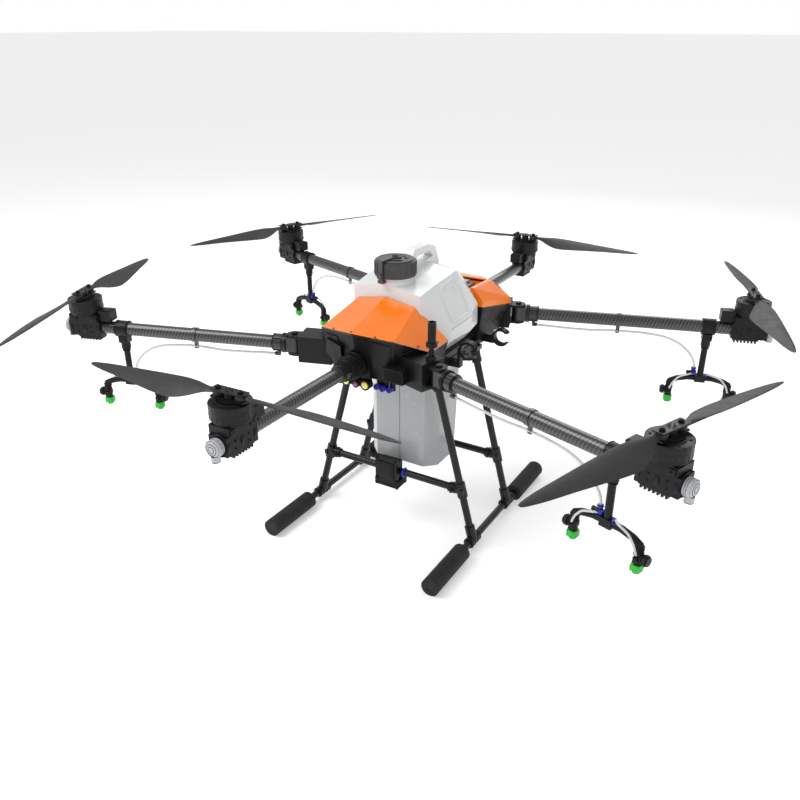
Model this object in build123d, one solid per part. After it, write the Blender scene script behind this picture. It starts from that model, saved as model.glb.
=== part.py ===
from build123d import *
import os
from math import cos, sin, radians, degrees, atan2, hypot, tan

os.makedirs("parts", exist_ok=True)

# Six-arm agricultural spray drone. Front is -Y, up is +Z, ground at Z = 0.

# ---- driving dimensions, mm ----
PROP_D = 762
DISC_Z = 646
ARM_Z = 552
TIP_DROOP = 9
SIDE_HUB_X = 778
SIDE_HUB_Y = 448
END_HUB_Y = 738
ARM_FOCUS_Y = 197
FRONT_FACE = 202
REAR_FACE = 176
NOSE_FACE_Y = 295
TAIL_FACE_Y = 290
TUBE_R = 17.5
TUBE_WALL = 2
HINGE_X = 20
PIN_R = 4
PIN_GAP = 0.05
BELL_R = 44
BLADE_PIN_X = 28
BOOM_SETBACK = 103
BOOM_HALF = 78
FOOT_X = 253
FOOT_TOP_X = 125
SKID_Z = 24
CROSSBAR_Z = 170
LEG_FRONT_Y = -126
LEG_REAR_Y = 99
POD_FLOOR_Z = 512
TANK_FRONT_Y = -156.5
TANK_REAR_Y = 85
TANK_FOOT_Z = 182
TANK_SHOULDER_Z = 530
BATTERY_TOP_Z = 646
TANK_WALL = 4
CAP_Y = -112
CAP_R = 52
CAP_TOP_Z = 772
CAP_HEIGHT = 42
HOSE_R = 3.2
GAP = 0.4


def save(name, shape):
    export_step(shape, f"parts/{name}.step")


def group(*shapes):
    return Compound(children=list(shapes))


def block(x0, x1, y0, y1, z0, z1):
    return Pos((x0 + x1) / 2, (y0 + y1) / 2, (z0 + z1) / 2) * Box(x1 - x0, y1 - y0, z1 - z0)


def disc(x, y, z0, z1, r):
    return Pos(x, y, (z0 + z1) / 2) * Cylinder(r, z1 - z0)


def rod(a, b, r):
    """Round bar of radius r from point a to point b."""
    a = Vector(*a)
    b = Vector(*b)
    return Solid.extrude(Face(Wire.make_circle(r, Plane(a, z_dir=b - a))), b - a)


def along_x(x0, x1, y, z, r):
    return rod((x0, y, z), (x1, y, z), r)


def prism(points, z0, z1):
    face = make_face(Polyline(*[(x, y) for x, y in points], close=True))
    return Pos(0, 0, z0) * extrude(face, z1 - z0, dir=(0, 0, 1))


def mirrored(shape):
    """The shape and its reflection in the X = 0 plane."""
    return [shape, shape.mirror(Plane.YZ)]


def ring_solid(low, high):
    """Faceted solid between two rings with the same number of corners."""
    low = [Vector(*p) for p in low]
    high = [Vector(*p) for p in high]
    count = len(low)
    mid_low = sum(low, Vector()) / count
    mid_high = sum(high, Vector()) / count
    triangles = []
    for i in range(count):
        j = (i + 1) % count
        triangles.append((low[i], low[j], high[j]))
        triangles.append((low[i], high[j], high[i]))
        triangles.append((mid_low, low[j], low[i]))
        triangles.append((mid_high, high[i], high[j]))
    faces = []
    for a, b, c in triangles:
        if (b - a).cross(c - a).length > 1e-6:
            faces.append(Face(Wire.make_polygon([a, b, c], close=True)))
    return Solid(Shell(faces))


def both_sides(half):
    """Full ring from the +X half, listed from the one X = 0 end to the other."""
    left = [(-p[0],) + tuple(p[1:]) for p in reversed(half) if p[0] != 0]
    return list(half) + left


def shrunk(points, centre, factor):
    """The points moved towards a centre, for the inside of a thin shell."""
    return [tuple(c + (v - c) * factor for v, c in zip(p, centre)) for p in points]


# ---- arm layout ----
def side_arm(sx, sy, face):
    length = hypot(SIDE_HUB_X, SIDE_HUB_Y - ARM_FOCUS_Y)
    angle = degrees(atan2(sy * (SIDE_HUB_Y - ARM_FOCUS_Y), sx * SIDE_HUB_X))
    x = face * cos(radians(angle))
    y = sy * ARM_FOCUS_Y + face * sin(radians(angle))
    return {"x": x, "y": y, "angle": angle, "length": length - face}


ARMS = {
    1: {"x": 0, "y": -NOSE_FACE_Y, "angle": -90, "length": END_HUB_Y - NOSE_FACE_Y},
    2: side_arm(1, -1, FRONT_FACE),
    3: side_arm(1, 1, REAR_FACE),
    4: {"x": 0, "y": TAIL_FACE_Y, "angle": 90, "length": END_HUB_Y - TAIL_FACE_Y},
    5: side_arm(-1, 1, REAR_FACE),
    6: side_arm(-1, -1, FRONT_FACE),
}
# direction of blade a at rest, and the side its trailing edge is on
BLADE_ANGLE = {1: 2, 2: 68.2, 3: 111.8, 4: 182, 5: 68.2, 6: 111.8}
TRAILING = {1: 1, 2: 1, 3: -1, 4: -1, 5: 1, 6: -1}
SPRAY_ARMS = (2, 3, 5, 6)
FIXED_ARMS = (1, 4)


def placed(k, shape):
    """Move a shape from the arm's own frame, x outward from the pod face, to its place."""
    arm = ARMS[k]
    return Pos(arm["x"], arm["y"], ARM_Z) * Rot(0, 0, arm["angle"]) * shape


EAR_R = 20
EAR_INNER = 20
EAR_OUTER = 27
BOX_HALF = 36
BOX_TOP = 33
LUG_DEPTH = 88


def corner_box(k):
    return placed(k, block(-LUG_DEPTH, 0, -BOX_HALF, BOX_HALF, -BOX_HALF, BOX_TOP))


def pod_socket(k):
    """Corner box with the two hinge ears and the bolt that hold one arm."""
    box = block(-LUG_DEPTH, 0, -BOX_HALF, BOX_HALF, -BOX_HALF, BOX_TOP)
    ears = []
    for z0, z1 in ((EAR_INNER, EAR_OUTER), (-EAR_OUTER, -EAR_INNER)):
        ears.append(disc(HINGE_X, 0, z0, z1, EAR_R))
        ears.append(block(-1, HINGE_X, -EAR_R, EAR_R, z0, z1))
    bolt = disc(HINGE_X, 0, -EAR_OUTER - 4, EAR_OUTER + 4, PIN_R)
    bolt += disc(HINGE_X, 0, EAR_OUTER, EAR_OUTER + 5, 8)
    bolt += disc(HINGE_X, 0, -EAR_OUTER - 5, -EAR_OUTER, 8)
    shape = box
    for ear in ears:
        shape += ear
    return placed(k, shape + bolt)


def tongue_room(k):
    """Space between the ears, kept free of the pod wall."""
    return placed(k, block(0, 2 * HINGE_X, -EAR_R, EAR_R, -EAR_INNER, EAR_INNER))


COLLAR_X = 42
COLLAR_END_X = 78
CLIP_X = 300


def arm(k):
    """Hinge tongue with its collar, the carbon tube and the hose clip."""
    length = ARMS[k]["length"]
    play = 0 if k in FIXED_ARMS else GAP
    half = EAR_INNER - play
    tongue = disc(HINGE_X, 0, -half, half, EAR_R - 2) + block(HINGE_X, COLLAR_X + 1, -16, 16, -half, half)
    tongue += along_x(COLLAR_X, COLLAR_X + 10, 0, 0, 25)
    tongue += along_x(COLLAR_X + 10, COLLAR_END_X, 0, 0, 22)
    hole_r = PIN_R + (0 if k in FIXED_ARMS else PIN_GAP)
    tongue -= disc(HINGE_X, 0, -EAR_OUTER, EAR_OUTER, hole_r)
    tongue -= along_x(COLLAR_X + 14, COLLAR_END_X + 1, 0, 0, TUBE_R)
    tube = along_x(COLLAR_X + 14, length + 46, 0, 0, TUBE_R)
    tube -= along_x(COLLAR_X + 13, length + 47, 0, 0, TUBE_R - TUBE_WALL)
    pieces = [tongue, tube]
    if k in SPRAY_ARMS:
        clip = along_x(CLIP_X - 6, CLIP_X + 6, 0, 0, TUBE_R + 2.5)
        clip -= along_x(CLIP_X - 7, CLIP_X + 7, 0, 0, TUBE_R)
        clip += block(CLIP_X - 5, CLIP_X + 5, -3, 3, -38, -TUBE_R - 1)
        clip -= rod((CLIP_X - 9, 0, -32), (CLIP_X + 9, 0, -32), HOSE_R)
        pieces.append(clip)
        fitting = disc(COLLAR_END_X - 12, 0, -31, -21.5, 5)
        fitting += rod((COLLAR_END_X - 16, 0, -32), (COLLAR_END_X - 2, 0, -32), 5.5)
        fitting -= rod((COLLAR_END_X - 10, 0, -32), (COLLAR_END_X - 1, 0, -32), HOSE_R)
        pieces.append(fitting)
    return placed(k, group(*pieces))


def motor_mount(k):
    """Clamp block under the motor, connector box, heat sink and end lamp."""
    length = ARMS[k]["length"]
    body = block(length - 46, length + 46, -23, 23, -21, 21)
    body += block(length - 44, length + 40, -26, 26, 20, 40)
    body += disc(length, 0, 39, BELL_TOP - 35 - ARM_Z, 39)
    body -= along_x(length - 47, length + 47, 0, 0, TUBE_R)
    plug = block(length - 78, length - 44, -17, 17, 22, 50)
    shaft = disc(length, 0, 46, BELL_TOP - ARM_Z - 2, 10)
    sink = block(length - 40, length + 26, -17, 17, -27, -21)
    for i in range(7):
        x = length - 36 + 9 * i
        sink += block(x, x + 4, -17, 17, -34, -26)
    lamp = along_x(length + 46, length + 62, 0, 0, 18)
    lamp += disc(length + 55.5, 0, -30, -14, 9)
    return placed(k, group(body + plug + shaft, sink, lamp))


PLATE_LOW = (DISC_Z - 9, DISC_Z - 6)
PLATE_HIGH = (DISC_Z + 6, DISC_Z + 9)
LUG_HALF = 5.7
BELL_TOP = DISC_Z - 13


def hub_at(k):
    arm_k = ARMS[k]
    a = radians(arm_k["angle"])
    return arm_k["x"] + arm_k["length"] * cos(a), arm_k["y"] + arm_k["length"] * sin(a)


def rotor(k):
    """Motor bell and the two plates that hold the folding blades."""
    bell = disc(0, 0, BELL_TOP - 33, BELL_TOP, BELL_R) - disc(0, 0, BELL_TOP - 34, BELL_TOP - 6, BELL_R - 5)
    bell += disc(0, 0, BELL_TOP - 1, PLATE_LOW[0] + 0.2, 24)
    bell -= disc(0, 0, BELL_TOP - 40, BELL_TOP - 1, 10.4)
    reach = BLADE_PIN_X + 13
    plates = block(-reach, reach, -12, 12, *PLATE_LOW) + block(-reach, reach, -12, 12, *PLATE_HIGH)
    plates += disc(0, 0, PLATE_LOW[1] - 1, PLATE_HIGH[0] + 1, 11)
    for x in (-BLADE_PIN_X, BLADE_PIN_X):
        plates += disc(x, 0, PLATE_LOW[0] - 2, PLATE_HIGH[1] + 3, 3)
        plates += disc(x, 0, PLATE_HIGH[1], PLATE_HIGH[1] + 3, 6)
    x, y = hub_at(k)
    return Pos(x, y, 0) * Rot(0, 0, BLADE_ANGLE[k]) * (bell + plates)


# distance from the blade pin, leading edge, trailing edge, thickness, pitch in degrees
BLADE = (
    (9, 8, 8, 9.0, 0),
    (30, 10, 12, 8.6, 12),
    (60, 15, 28, 7.8, 22),
    (95, 18, 42, 6.8, 21),
    (135, 18, 42, 5.8, 18),
    (190, 16, 35, 4.8, 15),
    (250, 13, 26, 4.0, 12),
    (310, 9, 17, 3.0, 10),
    (345, 4, 9, 2.2, 9),
    (353, 1, 5, 1.6, 9),
)


def blade_section(row):
    x, lead, trail, thick, pitch = row
    chord = lead + trail
    outline = (
        (-lead, 0),
        (-lead + 0.3 * chord, thick / 2),
        (-lead + 0.65 * chord, thick / 2.6),
        (trail, 0.5),
        (trail, -0.5),
        (-lead + 0.5 * chord, -thick / 2.2),
    )
    c = cos(radians(pitch))
    s = sin(radians(pitch))
    sag = TIP_DROOP * x / BLADE[-1][0]
    return [(x, y * c + z * s, DISC_Z - sag - y * s + z * c) for y, z in outline]


def blade(k, turn):
    """One folding blade about its pin, at the origin of its own frame."""
    rings = [blade_section(row) for row in BLADE]
    wing = ring_solid(rings[0], rings[1])
    for low, high in zip(rings[1:], rings[2:]):
        wing += ring_solid(low, high)
    lug = disc(0, 0, DISC_Z - LUG_HALF, DISC_Z + LUG_HALF, 12)
    wing = wing + lug - disc(0, 0, DISC_Z - 10, DISC_Z + 10, 3 + PIN_GAP)
    if TRAILING[k] < 0:
        wing = wing.mirror(Plane.XZ)
    x, y = hub_at(k)
    return Pos(x, y, 0) * Rot(0, 0, BLADE_ANGLE[k] + turn) * Pos(BLADE_PIN_X, 0, 0) * wing


HUB_DROP = -153
ELBOW_DROP = -168
NOZZLE_TOP = -182
NOZZLE_END = -213
CAP_END = -232
KNOB_DROP = -196
TEE_DROP = -138
CURVE = ((10, HUB_DROP), (34, HUB_DROP), (60, HUB_DROP - 6), (BOOM_HALF, ELBOW_DROP))


def boom(k):
    """Clamp sleeve, drop tube, tee and the two bent arms with nozzle bodies."""
    cx = ARMS[k]["length"] - BOOM_SETBACK
    sleeve = along_x(cx - 17, cx + 17, 0, 0, 22) - along_x(cx - 18, cx + 18, 0, 0, TUBE_R)
    sleeve += block(cx - 13, cx + 13, -12, 12, -38, -20)
    sleeve -= along_x(cx - 18, cx + 18, 0, 0, TUBE_R)
    drop = disc(cx, 0, -56, -37, 12.5) + disc(cx, 0, HUB_DROP, -55, 8.5)
    drop += block(cx - 14, cx + 14, -10, 10, HUB_DROP - 10, HUB_DROP + 10)
    shape = drop
    for s in (-1, 1):
        for (xa, za), (xb, zb) in zip(CURVE, CURVE[1:]):
            shape += rod((cx + s * xa, 0, za), (cx + s * xb, 0, zb), 8)
            shape += Pos(cx + s * xb, 0, zb) * Sphere(8)
        shape += disc(cx + s * BOOM_HALF, 0, NOZZLE_TOP, ELBOW_DROP, 8)
        shape += disc(cx + s * BOOM_HALF, 0, NOZZLE_END, NOZZLE_TOP + 1, 9)
        shape += along_x(cx + s * BOOM_HALF, cx + s * (BOOM_HALF + 24), 0, KNOB_DROP, 9)
    tee = along_x(cx - 38, cx - 12, 0, TEE_DROP, 5.5) + disc(cx - 20, 0, TEE_DROP, TEE_DROP + 16, 6)
    tee -= disc(cx - 20, 0, TEE_DROP + 6, TEE_DROP + 17, HOSE_R)
    return placed(k, group(sleeve, shape + tee))


def nozzle_caps(k):
    cx = ARMS[k]["length"] - BOOM_SETBACK
    caps = []
    for s in (-1, 1):
        cap = disc(cx + s * BOOM_HALF, 0, CAP_END + 6, NOZZLE_END + 2, 12)
        cap += disc(cx + s * BOOM_HALF, 0, CAP_END, CAP_END + 7, 8)
        cap -= disc(cx + s * BOOM_HALF, 0, NOZZLE_END, NOZZLE_END + 3, 9)
        caps.append(cap)
    return placed(k, group(*caps))


def fillet_radii(points):
    """Largest tangent arc at each corner: 0.45 of the shorter run over the half-turn's tangent."""
    radii = []
    for a, b, c in zip(points, points[1:], points[2:]):
        u = Vector(*b) - Vector(*a)
        v = Vector(*c) - Vector(*b)
        turn = radians(u.get_angle(v))
        radii.append(0.45 * min(u.length, v.length) / tan(turn / 2))
    return radii


def hose(k):
    """Clear hose from the collar fitting through the clip and down to the tee."""
    cx = ARMS[k]["length"] - BOOM_SETBACK
    x0 = COLLAR_END_X - 10
    x1 = CLIP_X
    route = [
        (x0, 0, -32),
        (x0 + 50, -1, -33.5),
        (x0 + 105, 0.5, -36),
        (x1 - 70, 1, -36.5),
        (x1 - 25, 0, -32.4),
        (cx - 190, 0, -31.6),
        (cx - 148, 0.5, -34),
        (cx - 105, 1, -40),
        (cx - 68, 0.5, -55),
        (cx - 38, 0, -80),
        (cx - 21, 0, -108),
        (cx - 20, 0, TEE_DROP + 6),
    ]
    radii = fillet_radii(route)
    print(f"hose_{k} smallest radius {min(radii):.1f}")
    wire = FilletPolyline(*route, radius=radii)
    start = wire @ 0
    section = Plane(start, z_dir=wire % 0) * Circle(HOSE_R)
    tube = sweep(section, path=wire)
    print(f"hose_{k} volume {tube.volume:.0f} section x length {wire.length * 3.14159 * HOSE_R ** 2:.0f}")
    print(f"hose_{k} length {wire.length:.1f}")
    return placed(k, tube)


# ---- body pods ----
NOSE_RING = [
    (0, -312, 634), (104, -291, 626), (160, -212, 585), (158, -119, 586),
]
NOSE_FLOOR = [
    (0, -282, POD_FLOOR_Z), (88, -268, POD_FLOOR_Z), (144, -205, POD_FLOOR_Z), (144, -122, POD_FLOOR_Z),
]
HOOD_RIM = [
    (0, -323, 639), (104, -291, 626), (160, -212, 585), (158, -119, 586),
]
HOOD_TOP = [
    (0, -162, 685), (83, -157.2, 670), (83, -157.2, 670), (83, -157.2, 670),
]
TAIL_RING = [
    (0, 302, 603), (104, 286, 598), (178, 217, 590), (148, 100, 606),
]
TAIL_FLOOR = [
    (0, 280, POD_FLOOR_Z), (88, 268, POD_FLOOR_Z), (150, 215, POD_FLOOR_Z), (135, 100, POD_FLOOR_Z),
]
TAIL_SKIRT = [
    (0, 300, 624), (104, 284, 618), (178, 214, 609), (148, 100, 622),
]
TAIL_TOP = [
    (0, 238, 648), (80, 236, 648), (120, 200, 652), (118, 100, 655),
]
HOOD_CENTRE = (0, -225, 580)
TAIL_CENTRE = (0, 190, 560)
SHELL = 0.96
BAY_X = 74
BAY_FRONT_Y = 114
BAY_REAR_Y = 206
BAY_FLOOR_Z = 530
TRAY_X = 108
TRAY_Z = 632


def front_pod():
    shell = ring_solid(both_sides(NOSE_FLOOR), both_sides(NOSE_RING)) - tongue_room(1)
    for k in (1, 2, 6):
        shell += pod_socket(k)
    shell += block(78, 134, -302, -262, 525, 562)
    shell += ring_solid(
        both_sides([(-96, -288, 560), (-60, -299, 540), (-40, -303, 565)])[:3] + [(-40, -306, 592), (-88, -296, 600)],
        [(-96, -262, 560), (-60, -262, 540), (-40, -262, 565), (-40, -262, 592), (-88, -262, 600)],
    )
    shell -= block(-88, 88, -262, -172, POD_FLOOR_Z + 6, 720)
    for side in mirrored(block(94, 138, -206, -164, POD_FLOOR_Z + 6, 578)):
        shell -= side
    return shell - tank_path()


def rear_pod():
    shell = ring_solid(both_sides(TAIL_FLOOR), both_sides(TAIL_RING)) - tongue_room(4)
    for k in (3, 4, 5):
        shell += pod_socket(k)
    shell -= block(-BAY_X, BAY_X, BAY_FRONT_Y, BAY_REAR_Y, BAY_FLOOR_Z, 720)
    shell -= block(-60, 60, BAY_REAR_Y + 6, 264, POD_FLOOR_Z + 6, 588)
    for side in mirrored(block(BAY_X + 6, 128, 108, 205, POD_FLOOR_Z + 6, 582)):
        shell -= side
    return shell


def front_hood():
    solid = ring_solid(both_sides(HOOD_RIM), both_sides(HOOD_TOP))
    inner = [shrunk(both_sides(ring), HOOD_CENTRE, SHELL) for ring in (HOOD_RIM, HOOD_TOP)]
    return solid - ring_solid(*inner) - tank_path() - corner_box(2) - corner_box(6)


def rear_hood():
    solid = ring_solid(both_sides(TAIL_RING), both_sides(TAIL_SKIRT))
    solid += ring_solid(both_sides(TAIL_SKIRT), both_sides(TAIL_TOP))
    low, skirt, top = [shrunk(both_sides(ring), TAIL_CENTRE, SHELL) for ring in (TAIL_RING, TAIL_SKIRT, TAIL_TOP)]
    solid -= ring_solid(low, skirt) + ring_solid(skirt, top)
    solid += block(-TRAY_X - 4, TRAY_X + 4, 100, BAY_REAR_Y + 4, TRAY_Z - 4, TRAY_Z + 8)
    solid -= block(-TRAY_X, TRAY_X, 0, BAY_REAR_Y, TRAY_Z, 720)
    solid -= block(-BAY_X, BAY_X, 0, BAY_REAR_Y, 500, 720)
    return solid


# ---- tank ----
SECTIONS = (
    (TANK_FRONT_Y, [(0, 714), (97, 699), (97, 640), (97, 570), (97, TANK_SHOULDER_Z)]),
    (-88, [(0, 726), (100, 710), (150, 606), (150, 570), (120, TANK_SHOULDER_Z)]),
    (25, [(0, 735), (101, 721), (152, 615), (150, 565), (120, TANK_SHOULDER_Z)]),
    (TANK_REAR_Y, [(0, 717), (80, 702), (138, 622), (140, 565), (115, TANK_SHOULDER_Z)]),
)
TANK_X = 108
TANK_Y = (-90, 54)
TANK_TAPER = 18
CORNER = 30
PATH_GAP = 0.8


def tank_block(inset):
    """Tank volume with every wall moved in by inset."""
    rings = []
    for i, (y, outline) in enumerate(SECTIONS):
        y_in = y + (inset if i == 0 else 0) - (inset if i == 3 else 0)
        half = []
        for x, z in outline:
            low = z == TANK_SHOULDER_Z
            x_in = x - inset * 1.2 if x else 0
            half.append((x_in, y_in, z + inset if low else z - inset))
        rings.append(both_sides(half))
    body = ring_solid(rings[0], rings[1]) + ring_solid(rings[1], rings[2]) + ring_solid(rings[2], rings[3])
    low = tank_plan(inset, TANK_TAPER, TANK_FOOT_Z + inset)
    high = tank_plan(inset, 0, TANK_SHOULDER_Z + 20)
    return body + ring_solid(low, high)


def tank_plan(inset, taper, z):
    x = TANK_X - inset - taper / 6
    y0 = TANK_Y[0] + inset
    y1 = TANK_Y[1] - inset - taper
    corner = CORNER - inset / 2
    right = [(x - corner, y0, z), (x, y0 + corner, z), (x, y1, z)]
    return right + [(-a, b, c) for a, b, c in reversed(right)]


def tank_path():
    """The column the tank needs to lift straight out."""
    half = [(97, TANK_FRONT_Y - PATH_GAP), (152 + PATH_GAP, -88 - PATH_GAP)]
    half += [(152 + PATH_GAP, TANK_REAR_Y + PATH_GAP)]
    return prism(half + [(-x, y) for x, y in reversed(half)], 300, 900)


NECK_R = 46


def tank():
    solid = tank_block(0)
    for side in mirrored(Pos(130, -28, 672) * Rot(0, 64, 0) * Box(72, 96, 9)):
        solid -= side
    solid -= block(-3, 3, TANK_Y[0] - 1, TANK_Y[0] + 2, TANK_FOOT_Z - 1, TANK_SHOULDER_Z - 10)
    solid += disc(0, CAP_Y, 700, 740, NECK_R)
    solid -= tank_block(TANK_WALL)
    solid -= disc(0, CAP_Y, 690, 745, NECK_R - 5)
    return solid


def tank_handle():
    outer = [(-52, 722), (-50, 764), (-40, 778), (39, 776), (71, 764), (96, 716), (84, 710), (30, 726)]
    inner = [(-30, 740), (-24, 757), (40, 757), (58, 740), (30, 737)]
    loop = make_face(Polyline(*outer, close=True)) - make_face(Polyline(*inner, close=True))
    solid = extrude(Plane.YZ * loop, 14, both=True)
    return solid - tank_block(0)


def tank_cap():
    low = CAP_TOP_Z - CAP_HEIGHT
    cap = disc(0, CAP_Y, low, CAP_TOP_Z - 4, CAP_R)
    cap += disc(0, CAP_Y, CAP_TOP_Z - 5, CAP_TOP_Z, CAP_R - 6)
    cap += disc(0, CAP_Y, CAP_TOP_Z - 1, CAP_TOP_Z + 7, 9)
    for i in range(18):
        rib = Pos(CAP_R - 0.5, 0, CAP_TOP_Z - 21) * Box(3, 6, 30)
        cap += Pos(0, CAP_Y, 0) * Rot(0, 0, 20 * i) * rib
    cap -= disc(0, CAP_Y, low - 1, CAP_TOP_Z - 9, NECK_R + 1)
    return cap


STRAP_ANGLE = 262


def cap_strap():
    bar = disc(0, 0, CAP_TOP_Z + 0.6, CAP_TOP_Z + 5, 15) - disc(0, 0, CAP_TOP_Z, CAP_TOP_Z + 6, 9.6)
    reach = CAP_R + 3
    bar += block(12, reach + 5, -6, 6, CAP_TOP_Z + 0.6, CAP_TOP_Z + 5)
    bar += block(reach, reach + 5, -6, 6, 720, CAP_TOP_Z + 5)
    bar += block(NECK_R - 1, reach + 5, -8, 8, 719, 727)
    bar += along_x(reach, reach + 10, 0, 738, 7)
    bar -= disc(0, 0, 700, 750, NECK_R)
    return Pos(0, CAP_Y, 0) * Rot(0, 0, STRAP_ANGLE) * bar


def battery():
    pack = block(-71, 71, 117, 203, BAY_FLOOR_Z, BATTERY_TOP_Z - 8)
    pack += block(-60, 60, 126, 194, BATTERY_TOP_Z - 9, BATTERY_TOP_Z)
    grip = block(-40, 40, 154, 166, BATTERY_TOP_Z - 1, BATTERY_TOP_Z + 17)
    return pack + grip - block(-30, 30, 153, 167, BATTERY_TOP_Z, BATTERY_TOP_Z + 11)


# ---- frame, landing gear and fittings ----
RAIL_X = 128


def side_rails():
    """Rails that join the pods, with the tank saddles and the folded-arm clips."""
    pieces = []
    rail = block(RAIL_X - 10, RAIL_X + 10, -215, 205, POD_FLOOR_Z - 18, POD_FLOOR_Z)
    rail += block(RAIL_X - 12, RAIL_X + 8, -118, 48, POD_FLOOR_Z - 1, TANK_SHOULDER_Z)
    pieces += mirrored(rail)
    return group(*pieces, *arm_clips())


def leg_x(z):
    top = POD_FLOOR_Z - 18
    return FOOT_TOP_X + (FOOT_X - FOOT_TOP_X) * (top - z) / (top - SKID_Z)


def landing_legs():
    pieces = []
    top = POD_FLOOR_Z - 18
    for y in (LEG_FRONT_Y, LEG_REAR_Y):
        leg = rod((leg_x(top - 6), y, top - 6), (FOOT_X, y, SKID_Z), 10)
        leg += rod((leg_x(top - 2), y, top - 2), (leg_x(top - 48), y, top - 48), 14)
        leg += block(RAIL_X - 16, RAIL_X + 16, y - 16, y + 16, top - 12, top)
        leg += rod((leg_x(CROSSBAR_Z + 20), y, CROSSBAR_Z + 20), (leg_x(CROSSBAR_Z - 20), y, CROSSBAR_Z - 20), 14)
        leg += along_x(leg_x(CROSSBAR_Z) - 34, leg_x(CROSSBAR_Z), y, CROSSBAR_Z, 14)
        leg += rod((FOOT_X, y - 26, SKID_Z), (FOOT_X, y + 26, SKID_Z), 14)
        leg += rod((leg_x(SKID_Z + 40), y, SKID_Z + 40), (FOOT_X, y, SKID_Z), 14)
        leg -= rod((FOOT_X, y - 40, SKID_Z), (FOOT_X, y + 40, SKID_Z), 10)
        leg -= block(RAIL_X - 30, RAIL_X + 30, y - 30, y + 30, top, top + 30)
        leg -= along_x(0, leg_x(CROSSBAR_Z) - 14, y, CROSSBAR_Z, 10)
        pieces += mirrored(leg)
    return group(*pieces)


def skid_tubes():
    pieces = []
    for y in (LEG_FRONT_Y, LEG_REAR_Y):
        reach = leg_x(CROSSBAR_Z) - 14
        pieces.append(along_x(-reach, reach, y, CROSSBAR_Z, 10))
    pieces += mirrored(rod((FOOT_X, -367, SKID_Z), (FOOT_X, 321, SKID_Z), 10))
    return group(*pieces)


FOAM_R = 24.5


def foam_pads():
    pieces = []
    for y0, y1 in ((-368, -192), (152, 322)):
        pad = rod((FOOT_X, y0, SKID_Z), (FOOT_X, y1, SKID_Z), FOAM_R)
        pad -= rod((FOOT_X, y0 - 1, SKID_Z), (FOOT_X, y1 + 1, SKID_Z), 10)
        pad -= block(200, 300, y0 - 1, y1 + 1, -10, 0)
        pieces += mirrored(pad)
    return group(*pieces)


RADAR_X = -9


def radar():
    body = block(-30, 30, -140, -112, 140, 200) + block(-34, 34, -152, -139, 138, 216)
    body += block(-36, 36, -150, -100, 124, 146)
    body -= along_x(-50, 50, LEG_FRONT_Y, CROSSBAR_Z, 10)
    return Pos(RADAR_X, 0, 0) * body


def camera_light():
    body = along_x(-30, 30, -286, 503, 14) + block(-13, 13, -290, -262, 498, POD_FLOOR_Z)
    for x in (-28, 28):
        body += rod((x, -286, 503), (x, -304, 503), 13)
    body += rod((0, -286, 500), (0, -303, 500), 9)
    return body - block(-60, 60, -310, -255, POD_FLOOR_Z, 540)


ANTENNA_XY = (184, -253)


def antenna():
    base = ARM_Z + BOX_TOP
    x, y = ANTENNA_XY
    mast = disc(x, y, base, base + 12, 13)
    mast += disc(x, y, base + 11, base + 46, 6)
    mast += disc(x, y, base + 34, base + 46, 13)
    return mast + disc(x, y, base + 45, 680, 10)


def arm_clips():
    pieces = []
    for y, z in ((-65, 546), (140, 516)):
        ring = rod((190, y - 9, z), (190, y + 9, z), 25) - rod((190, y - 10, z), (190, y + 10, z), 18.5)
        ring -= block(202, 240, y - 10, y + 10, z - 14, z + 14)
        ring += block(RAIL_X + 10, 170, y - 9, y + 9, POD_FLOOR_Z - 16, POD_FLOOR_Z)
        ring += block(162, 170, y - 9, y + 9, POD_FLOOR_Z - 16, z + 4)
        pieces += mirrored(ring)
    return pieces


def pumps():
    pump = block(62, 110, 100, 148, 458, POD_FLOOR_Z) + disc(86, 124, 436, 459, 19)
    pump += rod((92, 102, 474), (92, 84, 474), 8)
    return group(*mirrored(pump))


def electronics():
    return block(-62, 62, -250, -184, POD_FLOOR_Z + 6, 566)


for k in ARMS:
    save(f"arm_{k}", arm(k))
    save(f"motor_mount_{k}", motor_mount(k))
    save(f"rotor_{k}", rotor(k))
    save(f"blade_{k}a", blade(k, 0))
    save(f"blade_{k}b", blade(k, 180))
for k in SPRAY_ARMS:
    save(f"boom_{k}", boom(k))
    save(f"nozzle_caps_{k}", nozzle_caps(k))
    save(f"hose_{k}", hose(k))
save("front_pod", front_pod())
save("rear_pod", rear_pod())
save("front_hood", front_hood())
save("rear_hood", rear_hood())
save("tank", tank())
save("tank_handle", tank_handle())
save("tank_cap", tank_cap())
save("cap_strap", cap_strap())
save("battery", battery())
save("side_rails", side_rails())
save("landing_legs", landing_legs())
save("skid_tubes", skid_tubes())
save("foam_pads", foam_pads())
save("radar", radar())
save("camera_light", camera_light())
save("antenna", antenna())
save("pumps", pumps())
save("electronics", electronics())
for k in ARMS:
    x, y = hub_at(k)
    print(f"hub {k} {x:.2f} {y:.2f} angle {ARMS[k]['angle']:.3f} face {ARMS[k]['x']:.2f} {ARMS[k]['y']:.2f}")
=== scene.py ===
import math
import bpy
import bmesh
from mathutils import Matrix, Vector


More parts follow.
